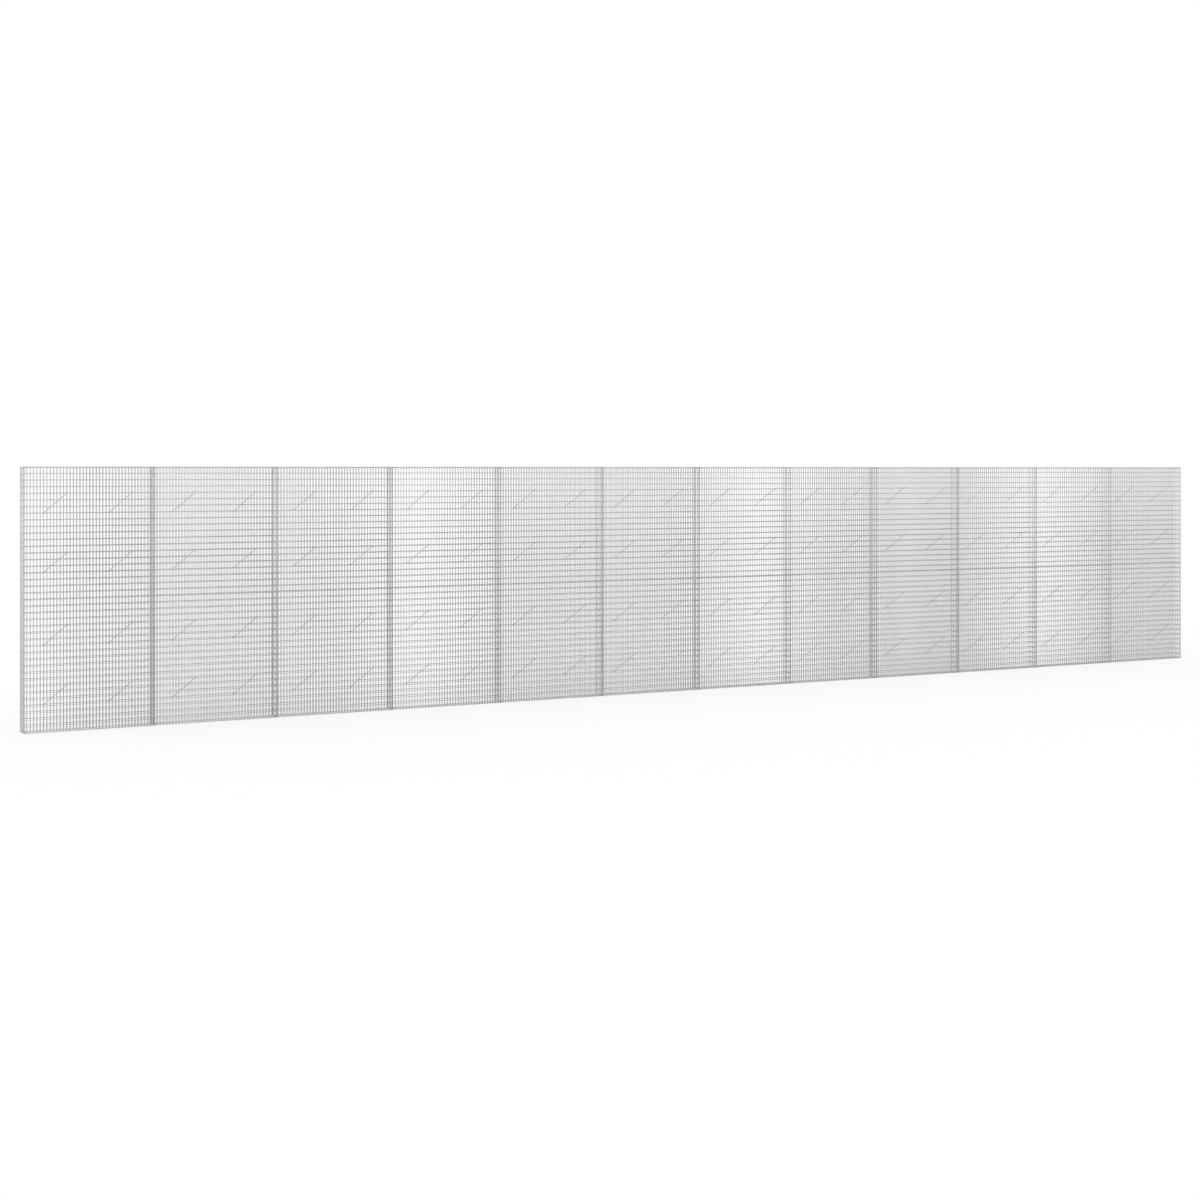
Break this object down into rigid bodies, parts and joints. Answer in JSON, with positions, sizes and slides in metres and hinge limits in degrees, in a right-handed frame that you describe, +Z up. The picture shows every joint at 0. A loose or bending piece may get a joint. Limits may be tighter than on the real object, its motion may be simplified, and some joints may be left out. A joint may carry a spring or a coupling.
{
  "type": "gabion fence",
  "caption": "Long, thin, free-standing fence of empty welded wire mesh baskets in two tiers, galvanised, with partitions, spacers and a mesh cover.",
  "frame": {"origin": "middle of the wall's underside, on the foot of the partition in the middle of its length", "axes": "+X along the wall, +Y through it from the front to the back, +Z up"},
  "size_m": [12, 0.124, 2],
  "materials": {
    "galvanised_mesh": "dull galvanised",
    "spacer_wire": "dull galvanised"
  },
  "bodies": {
    "root": {"front_mesh_01": "galvanised_mesh", "front_mesh_02": "galvanised_mesh", "front_mesh_03": "galvanised_mesh", "front_mesh_04": "galvanised_mesh", "front_mesh_05": "galvanised_mesh", "front_mesh_06": "galvanised_mesh", "front_mesh_07": "galvanised_mesh", "front_mesh_08": "galvanised_mesh", "front_mesh_09": "galvanised_mesh", "front_mesh_10": "galvanised_mesh", "front_mesh_11": "galvanised_mesh", "front_mesh_12": "galvanised_mesh", "back_mesh_01": "galvanised_mesh", "back_mesh_02": "galvanised_mesh", "back_mesh_03": "galvanised_mesh", "back_mesh_04": "galvanised_mesh", "back_mesh_05": "galvanised_mesh", "back_mesh_06": "galvanised_mesh", "back_mesh_07": "galvanised_mesh", "back_mesh_08": "galvanised_mesh", "back_mesh_09": "galvanised_mesh", "back_mesh_10": "galvanised_mesh", "back_mesh_11": "galvanised_mesh", "back_mesh_12": "galvanised_mesh", "partition_mesh_01": "galvanised_mesh", "partition_mesh_02": "galvanised_mesh", "partition_mesh_03": "galvanised_mesh", "partition_mesh_04": "galvanised_mesh", "partition_mesh_05": "galvanised_mesh", "partition_mesh_06": "galvanised_mesh", "partition_mesh_07": "galvanised_mesh", "partition_mesh_08": "galvanised_mesh", "partition_mesh_09": "galvanised_mesh", "partition_mesh_10": "galvanised_mesh", "partition_mesh_11": "galvanised_mesh", "end_mesh_left": "galvanised_mesh", "end_mesh_right": "galvanised_mesh", "base_mesh": "galvanised_mesh", "middle_mesh": "galvanised_mesh", "lid_mesh": "galvanised_mesh", "spacers_tier_01": "spacer_wire", "spacers_tier_02": "spacer_wire"}
  },
  "joints": []
}
